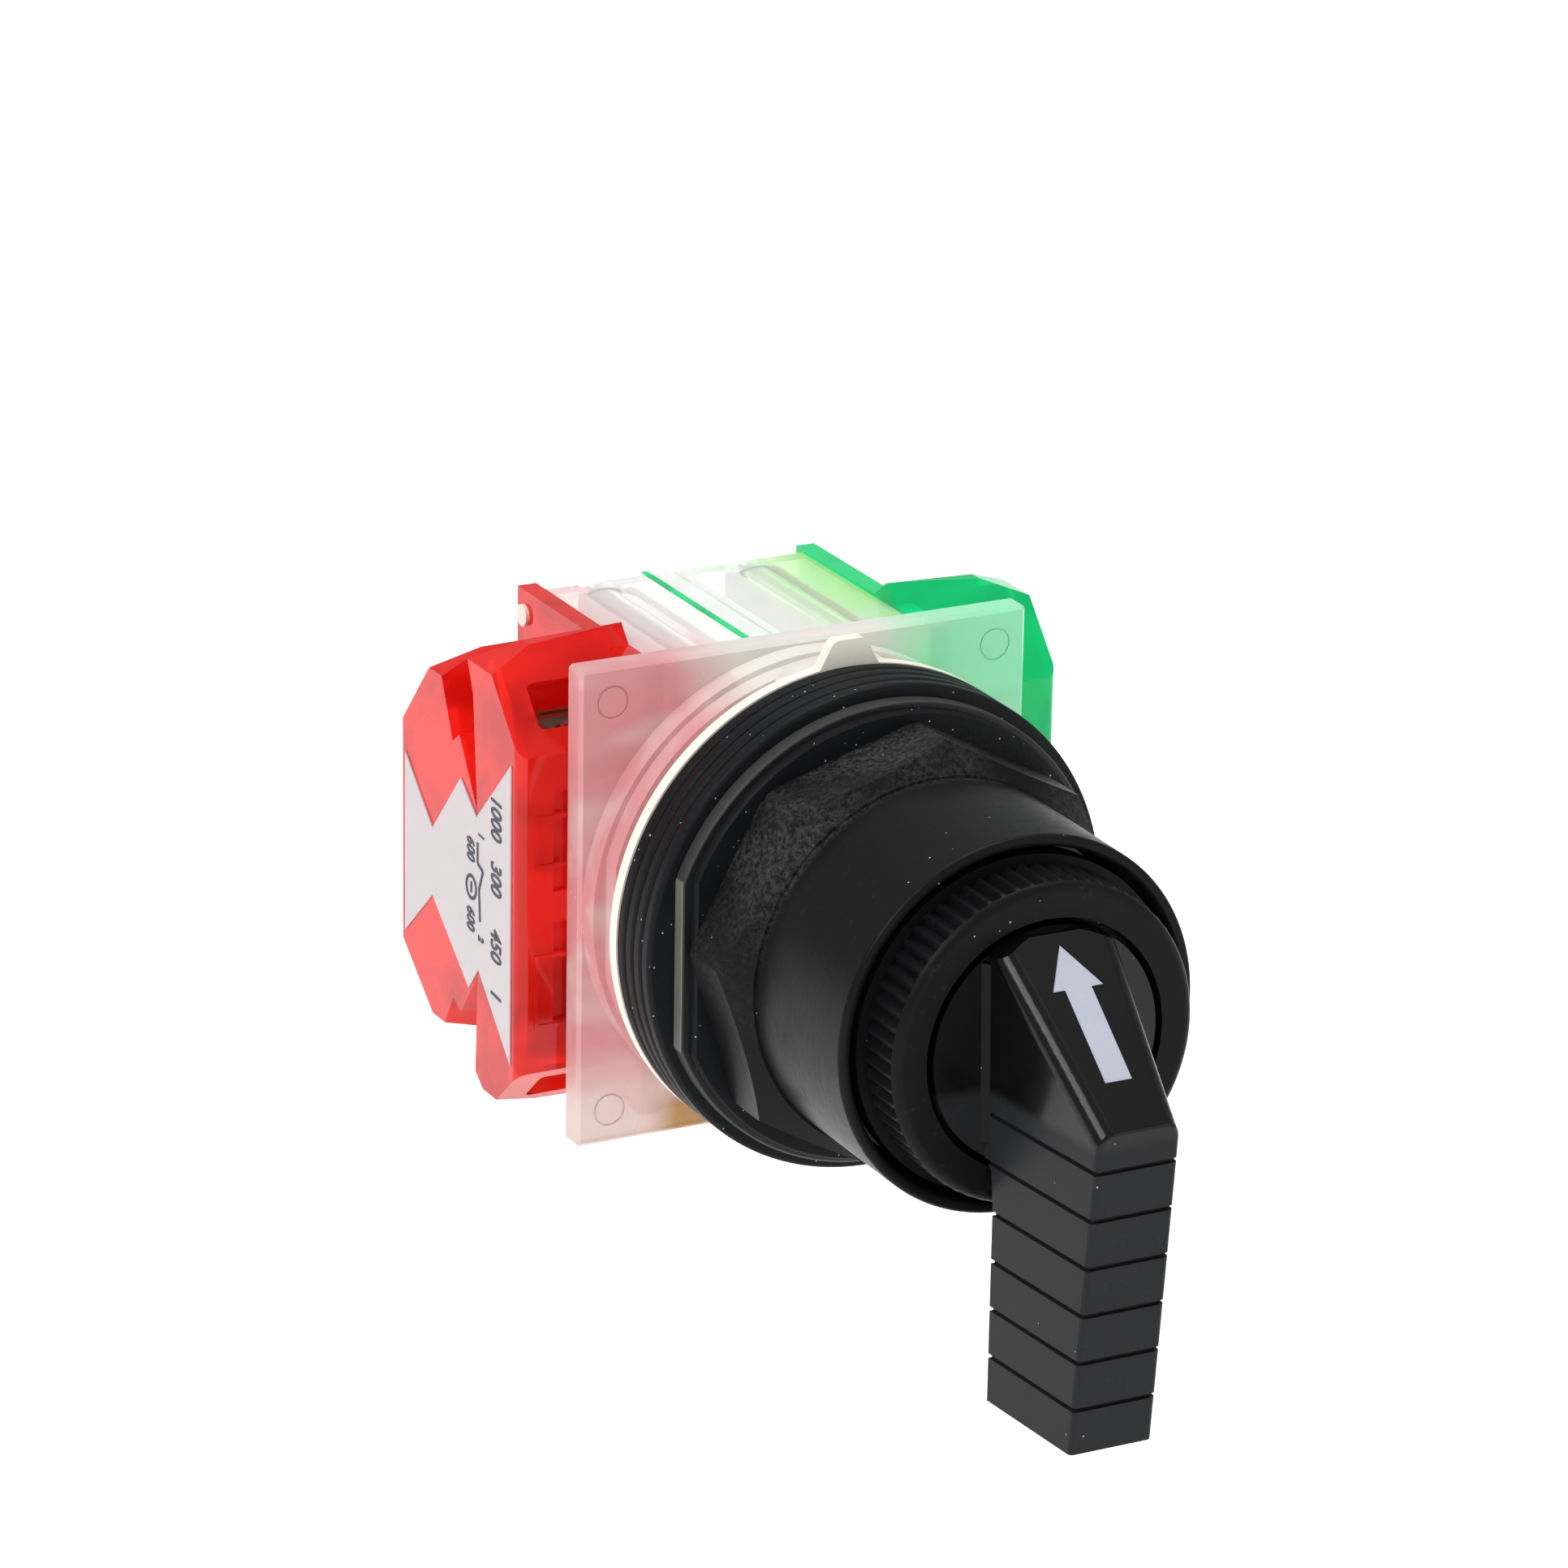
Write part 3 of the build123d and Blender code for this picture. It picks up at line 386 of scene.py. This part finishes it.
def platedMetal(name):
    # metal with fine turning marks, stains and polish that varies
    colour, shade, rough, brushed = metalLook[name]
    finish = Finish(name, Metallic=1.0)
    tones = finish.noise(4 * mm, 4.0, 0.6)
    lines = finish.noise(0.35 * mm, 3.0, 0.6, finish.stretch(brushed))
    colour = finish.blend(tones, colour, shade)
    return finish.feed(colour, rough + tones * 0.18 + lines * 0.08, lines, 0.02 * mm)


paperLook = {"colour": (0.47, 0.42, 0.43), "mottled": 0.93, "coat": 0.25, "coatRough": 0.25}


def paper(name, look):
    # printed foil label, faintly mottled
    finish = Finish(name, Coat_Weight=look["coat"], Coat_Roughness=look["coatRough"])
    mottle = finish.noise(3 * mm, 4.0, 0.6)
    fibre = finish.noise(0.3 * mm, 2.0)
    shade = tuple(look["mottled"] * part for part in look["colour"])
    colour = finish.blend(mottle, look["colour"], shade)
    return finish.feed(colour, 0.36 + mottle * 0.1, fibre, 0.01 * mm)


def ink(name, colour, shade):
    finish = Finish(name)
    speck = finish.noise(0.3 * mm, 2.0)
    return finish.feed(finish.blend(speck, colour, shade), 0.5 + speck * 0.1)


def seat(material, *names):
    # puts a finish on CAD nodes
    for name in names:
        piece = nodes[name]
        piece.data.materials.clear()
        piece.data.materials.append(material)


redPlastic = translucent("redCase", clearLook["red"])
greenPlastic = translucent("greenCase", clearLook["green"])
ringBlack = mouldedBlack("ringBlack", mouldedLook["ring"])
platedScrew = platedMetal("platedScrew")
brass = platedMetal("contactBrass")
seat(translucent("frostedPlate", clearLook["frosted"], plateTones), "base_plate")
seat(translucent("clearChamber", clearLook["chamber"]), "left_chamber", "right_chamber")
seat(redPlastic, "left_case")
seat(greenPlastic, "right_case")
seat(mouldedBlack("nutBlack", mouldedLook["nut"], nutWear), "ring_nut")
seat(ringBlack, "retaining_ring")
seat(mouldedBlack("leverBlack", mouldedLook["lever"], None, leverPolish), "lever_handle")
gaskets = [f"gasket_{number}" for number in range(1, 5)]
seat(rubber("gasketRubber", rubberLook), *gaskets, "shaft_seal", "thrust_washer")
seat(greyEdged("fibreWasher", fibreLook), "flat_washer")
seat(nylon("creamNylon"), "locating_washer", "left_eyelet", "right_eyelet")
seat(nylon("whiteAcetal"), "left_plunger", "right_plunger", "cam")
seat(nylon("arrowWhite"), "pointer_arrow")
seat(platedMetal("castZinc"), "operator_body", "guide_plate")
seat(platedMetal("groundSteel"), "spindle", "detent_balls", "handle_pin")
springs = ("detent_springs", "left_return_spring", "right_return_spring")
seat(platedMetal("springSteel"), *springs, "spindle_clip")
seat(platedScrew, "body_screws")
blockMetals = {
    "terminal_screws": platedScrew, "wire_clamps": platedScrew, "mount_screws": platedScrew,
    "fixed_contacts": brass, "bridge_contact": brass,
}
for sideName in sides:
    for part, metal in blockMetals.items():
        seat(metal, f"{sideName}_{part}")
seat(paper("labelFoil", paperLook), "left_label", "right_label")
print("stage: finishes made,", len(bpy.data.materials))


def meshPiece(name, build, material, body):
    # makes a piece from a function that fills a bmesh, in place, at the origin
    form = bmesh.new()
    build(form)
    mesh = bpy.data.meshes.new(name)
    bmesh.ops.remove_doubles(form, verts=form.verts, dist=1e-7)
    bmesh.ops.recalc_face_normals(form, faces=form.faces)
    form.to_mesh(mesh)
    form.free()
    placePiece(name, mesh, material, body)


def placePiece(name, mesh, material, body):
    piece = bpy.data.objects.new(name, mesh)
    scene.collection.objects.link(piece)
    mesh.materials.clear()
    mesh.materials.append(material)
    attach(piece, body)


def plainMesh(data, prepare=None):
    # the finished mesh of text or of a modifier, taken from an object that is removed again
    holder = bpy.data.objects.new("holder", data)
    scene.collection.objects.link(holder)
    if prepare:
        prepare(holder)
    bpy.context.view_layer.update()
    mesh = bpy.data.meshes.new_from_object(holder.evaluated_get(bpy.context.evaluated_depsgraph_get()))
    holder.modifiers.clear()
    bpy.data.objects.remove(holder)
    return mesh


def addBar(form, low, high):
    # a bar between two corners
    middle = (Vector(low) + Vector(high)) / 2
    spread = Matrix.Diagonal(Vector(high) - Vector(low)).to_4x4()
    bmesh.ops.create_cube(form, size=1.0, matrix=Matrix.Translation(middle) @ spread)


def closeLoops(form, near, far):
    # joins two loops of corners into a closed prism
    form.faces.new(near)
    form.faces.new(reversed(far))
    for a in range(len(near)):
        b = (a + 1) % len(near)
        form.faces.new((near[b], near[a], far[a], far[b]))


# print on the labels; its points are (mm behind the label's front edge, mm up)
printing = {
    "lift": 0.02 * mm, "thick": 0.03 * mm, "stroke": 0.30 * mm, "weight": 0.05 * mm,
    "narrow": 0.7, "slant": 0.14, "capital": 0.7,
    "path": ((6.6, 3.8), (6.6, 1.85), (5.5, 1.45), (6.3, -0.45), (6.1, -3.4)),
    "ring": {"y": 7.9, "z": -0.75, "deep": 1.0, "tall": 1.05, "steps": 20, "tick": 0.5},
    "words": (
        ("1", 6.4, 4.9, 1.5), ("2", 6.4, -4.7, 1.5), ("600", 8.7, 3.9, 2.1), ("600", 8.7, -2.6, 2.1),
        ("1000", 3.8, 9.3, 2.9), ("300", 3.8, 3.2, 2.9), ("450", 3.8, -3.0, 2.9), ("1", 3.8, -8.6, 2.9),
    ),
    "ink": ((0.012, 0.014, 0.03), (0.03, 0.034, 0.06)),
}
printInk = ink("printInk", *printing["ink"])


def printedLabel(sideName, side):
    # a plain contact symbol and numbers, read from the top down
    low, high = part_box(f"{sideName}_label")
    face = (low.x if side < 0 else high.x) + side * printing["lift"]
    far = face + side * printing["thick"]
    frontY = low.y

    def bar(form, first, last):
        # a printed line from one point to the other
        start, end = (Vector((frontY + y * mm, z * mm)) for y, z in (first, last))
        across = (end - start).normalized().orthogonal() * printing["stroke"] / 2
        corners = (start + across, start - across, end - across, end + across)
        closeLoops(form, *([form.verts.new((x, *corner)) for corner in corners] for x in (face, far)))

    def symbol(form):
        ring = printing["ring"]
        angles = [math.tau * step / ring["steps"] for step in range(ring["steps"] + 1)]
        circle = [
            (ring["y"] + ring["deep"] * math.cos(angle), ring["z"] + ring["tall"] * math.sin(angle))
            for angle in angles
        ]
        for points in (printing["path"], circle):
            for first, last in zip(points, points[1:]):
                bar(form, first, last)
        bar(form, (ring["y"], ring["z"] + ring["tick"]), (ring["y"], ring["z"] - ring["tick"]))

    meshPiece(f"{sideName}_label_symbol", symbol, printInk, "operator")
    for number, (text, y, z, tall) in enumerate(printing["words"]):
        letters = bpy.data.curves.new(f"digits{number}", "FONT")
        letters.body = text
        letters.size = tall * mm
        letters.shear = printing["slant"]
        letters.offset = printing["weight"]
        letters.extrude = printing["thick"] / 2
        letters.align_x = "LEFT"
        mesh = plainMesh(letters)
        turned = Matrix(((0, 0, side, 0), (0, side, 0, 0), (-printing["narrow"], 0, 0, 0), (0, 0, 0, 1)))
        foot = y if side < 0 else y - printing["capital"] * tall
        mesh.transform(Matrix.Translation(((face + far) / 2, frontY + foot * mm, z * mm)) @ turned)
        placePiece(f"{sideName}_label_digits_{number}", mesh, printInk, "operator")


ribLook = {
    "count": 2, "first": 5.0, "pitch": 4.6, "width": 0.8, "height": 3.0, "drop": 1.42,
    "front": 12.4, "rear": 32.6,
}


def ribRow(name, start, size, material):
    # the Geometry Nodes tree that repeats a rib; its inputs are how many and how far apart
    tree = bpy.data.node_groups.new(name, "GeometryNodeTree")
    tree.interface.new_socket("Geometry", in_out="OUTPUT", socket_type="NodeSocketGeometry")
    counts = tree.interface.new_socket("Count", in_out="INPUT", socket_type="NodeSocketInt")
    pitches = tree.interface.new_socket("Pitch", in_out="INPUT", socket_type="NodeSocketFloat")
    source = tree.nodes.new("NodeGroupInput")
    step = tree.nodes.new("ShaderNodeCombineXYZ")
    row = tree.nodes.new("GeometryNodeMeshLine")
    row.inputs["Start Location"].default_value = start
    bar = tree.nodes.new("GeometryNodeMeshCube")
    bar.inputs["Size"].default_value = size
    scatter = tree.nodes.new("GeometryNodeInstanceOnPoints")
    real = tree.nodes.new("GeometryNodeRealizeInstances")
    paint = tree.nodes.new("GeometryNodeSetMaterial")
    paint.inputs["Material"].default_value = material
    sink = tree.nodes.new("NodeGroupOutput")
    for output, target in (
        (source.outputs["Count"], row.inputs["Count"]),
        (source.outputs["Pitch"], step.inputs["X"]),
        (step.outputs["Vector"], row.inputs["Offset"]),
        (row.outputs["Mesh"], scatter.inputs["Points"]),
        (bar.outputs["Mesh"], scatter.inputs["Instance"]),
        (scatter.outputs["Instances"], real.inputs["Geometry"]),
        (real.outputs["Geometry"], paint.inputs["Geometry"]),
        (paint.outputs["Geometry"], sink.inputs["Geometry"]),
    ):
        tree.links.new(output, target)
    return tree, counts.identifier, pitches.identifier


def chamberRibs(sideName, side, material):
    # a row of moulded ribs under the top of the see-through chamber
    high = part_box(f"{sideName}_chamber")[1]
    middleY = (ribLook["front"] + ribLook["rear"]) / 2
    start = (
        side * ribLook["first"] * mm,
        middleY * mm,
        high.z - (ribLook["drop"] + ribLook["height"] / 2) * mm,
    )
    size = (ribLook["width"] * mm, (ribLook["rear"] - ribLook["front"]) * mm, ribLook["height"] * mm)
    tree, countInput, pitchInput = ribRow(f"{sideName}RibRow", start, size, material)

    def repeat(holder):
        rows = holder.modifiers.new("rows", "NODES")
        rows.node_group = tree
        rows[countInput] = ribLook["count"]
        rows[pitchInput] = side * ribLook["pitch"] * mm

    mesh = plainMesh(bpy.data.meshes.new("holder"), repeat)
    placePiece(f"{sideName}_chamber_ribs", mesh, material, "operator")


dividerLook = {"from": -2.9, "to": -2.3, "lift": 0.02, "thick": 0.12, "front": 10.4, "rear": 34.4}


def dividerEdge(form):
    # the edge of the green plate between the chambers, at the top and at the bottom
    low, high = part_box("right_chamber")
    for face, way in ((high.z, 1), (low.z, -1)):
        near = face + way * dividerLook["lift"] * mm
        far = near + way * dividerLook["thick"] * mm
        addBar(
            form,
            (dividerLook["from"] * mm, dividerLook["front"] * mm, min(near, far)),
            (dividerLook["to"] * mm, dividerLook["rear"] * mm, max(near, far)),
        )


frameLook = {
    "width": 0.35, "proud": 0.14, "outer": 24.8, "inner": 21.9,
    "ends": ((8.5, 3.7), (-4.3, -11.1)),
}


def caseFrames(sideName, side, material):
    # the raised edges of the two panels in front of each case, beside the base plate
    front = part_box(f"{sideName}_case")[0].y
    stileX = frameLook["outer"] - frameLook["width"]

    def outline(form):
        for top, foot in frameLook["ends"]:
            spans = (
                (stileX, frameLook["outer"], foot, top),
                (frameLook["inner"], stileX, top - frameLook["width"], top),
                (frameLook["inner"], stileX, foot, foot + frameLook["width"]),
            )
            for inner, outer, low, high in spans:
                near, far = sorted((side * inner * mm, side * outer * mm))
                addBar(form, (near, front - frameLook["proud"] * mm, low * mm), (far, front, high * mm))

    meshPiece(f"{sideName}_case_frames", outline, material, "operator")


rootLook = {
    "leg": 0.42, "sunk": 0.5, "rise": 1.5,
    "face": -35.5, "top": (5.80, 8.2), "foot": (5.44, -7.6),
}


def leverRoots(form):
    # the small slanted strips where the lever's flanks meet its disc
    face = rootLook["face"] * mm
    leg = rootLook["leg"] * mm
    for side in sides.values():
        ends = []
        for x, z in (rootLook["top"], rootLook["foot"]):
            inside = x * mm - rootLook["sunk"] * leg
            corners = ((inside, face), (x * mm + leg, face), (inside, face - rootLook["rise"] * leg))
            ends.append([form.verts.new((side * across, y, z * mm)) for across, y in corners])
        closeLoops(form, *ends)


ribPlastic = nylon("ribPlastic")
meshPiece("lever_roots", leverRoots, ringBlack, "knob")
meshPiece("chamber_divider", dividerEdge, greenPlastic, "operator")
for sideName, side in sides.items():
    printedLabel(sideName, side)
    chamberRibs(sideName, side, ribPlastic)
    caseFrames(sideName, side, redPlastic if side < 0 else greenPlastic)
print("stage: labels printed, chambers ribbed")


stageLook = {
    "floor": (0.95, 0.95, 0.95), "mottled": 0.985, "width": 6.0, "drop": 22 * mm,
    "glow": 0.56, "world": 0.48,
}
white = (1.0, 1.0, 1.0, 1.0)


def makeFloor():
    place = (0, 0, cadLow.z - stageLook["drop"])
    bpy.ops.mesh.primitive_plane_add(size=stageLook["width"], location=place)
    floor = bpy.context.object
    floor.name = "floor"
    finish = Finish("paleFloor", Emission_Color=white, Emission_Strength=stageLook["glow"])
    mottle = finish.noise(0.2, 2.0)
    shade = tuple(stageLook["mottled"] * part for part in stageLook["floor"])
    colour = finish.blend(mottle, stageLook["floor"], shade)
    floor.data.materials.append(finish.feed(colour, 0.8 + mottle * 0.1))


def makeWorld():
    world = bpy.data.worlds.new("studio")
    world.use_nodes = True
    back = world.node_tree.nodes["Background"]
    back.inputs["Color"].default_value = white
    back.inputs["Strength"].default_value = stageLook["world"]
    scene.world = world
    scene.view_settings.view_transform = "Standard"


# soft lamps in metres and watts; spark is small and gives the bright lines on the black parts
lamps = {
    "key": {"watts": 3.5, "size": (0.5, 0.4), "place": (-0.55, -0.25, 0.6), "aim": (0, 0, 0)},
    "top": {"watts": 2.8, "size": (0.6, 0.3), "place": (0.1, 0.1, 0.7), "aim": (0, 0, 0)},
    "spark": {"watts": 0.4, "size": (0.08, 0.08), "place": (-0.62, -0.10, 0.56), "aim": (0, -0.04, 0)},
    "fill": {"watts": 0.6, "size": (0.5, 0.5), "place": (0.5, -0.6, 0.25), "aim": (0, 0, 0)},
}


def makeLight(name, watts, size, place, aim):
    data = bpy.data.lights.new(name, "AREA")
    data.energy = watts
    data.shape = "RECTANGLE"
    data.size, data.size_y = size
    lamp = bpy.data.objects.new(name, data)
    scene.collection.objects.link(lamp)
    lamp.location = place
    lamp.rotation_euler = (Vector(aim) - Vector(place)).to_track_quat("-Z", "Y").to_euler()


# angles in degrees, lens and sensor in mm, the rest in metres
viewpoint = {
    "azimuth": -27.63,
    "elevation": 19.88,
    "roll": 1.02,
    "distance": 0.6058,
    "target": (-7.63 * mm, -2.89 * mm, 13.26 * mm),
    "lens": 163.59,
    "sensor": 36.0,
    "nearest": 0.01,
}


def makeCamera():
    azimuth, elevation, roll = (math.radians(viewpoint[key]) for key in ("azimuth", "elevation", "roll"))
    back = Vector((
        math.sin(azimuth) * math.cos(elevation),
        -math.cos(azimuth) * math.cos(elevation),
        math.sin(elevation),
    ))
    right = Vector((0, 0, 1)).cross(back).normalized()
    up = back.cross(right)
    turnedRight = right * math.cos(roll) + up * math.sin(roll)
    turnedUp = up * math.cos(roll) - right * math.sin(roll)
    data = bpy.data.cameras.new("camera")
    data.lens = viewpoint["lens"]
    data.sensor_width = viewpoint["sensor"]
    data.clip_start = viewpoint["nearest"]
    camera = bpy.data.objects.new("camera", data)
    scene.collection.objects.link(camera)
    turn = Matrix((turnedRight, turnedUp, back)).transposed().to_4x4()
    place = Vector(viewpoint["target"]) + back * viewpoint["distance"]
    camera.matrix_world = Matrix.Translation(place) @ turn
    scene.camera = camera


makeFloor()
makeWorld()
for lampName, lamp in lamps.items():
    makeLight(lampName, **lamp)
makeCamera()
print("stage: light and camera set")
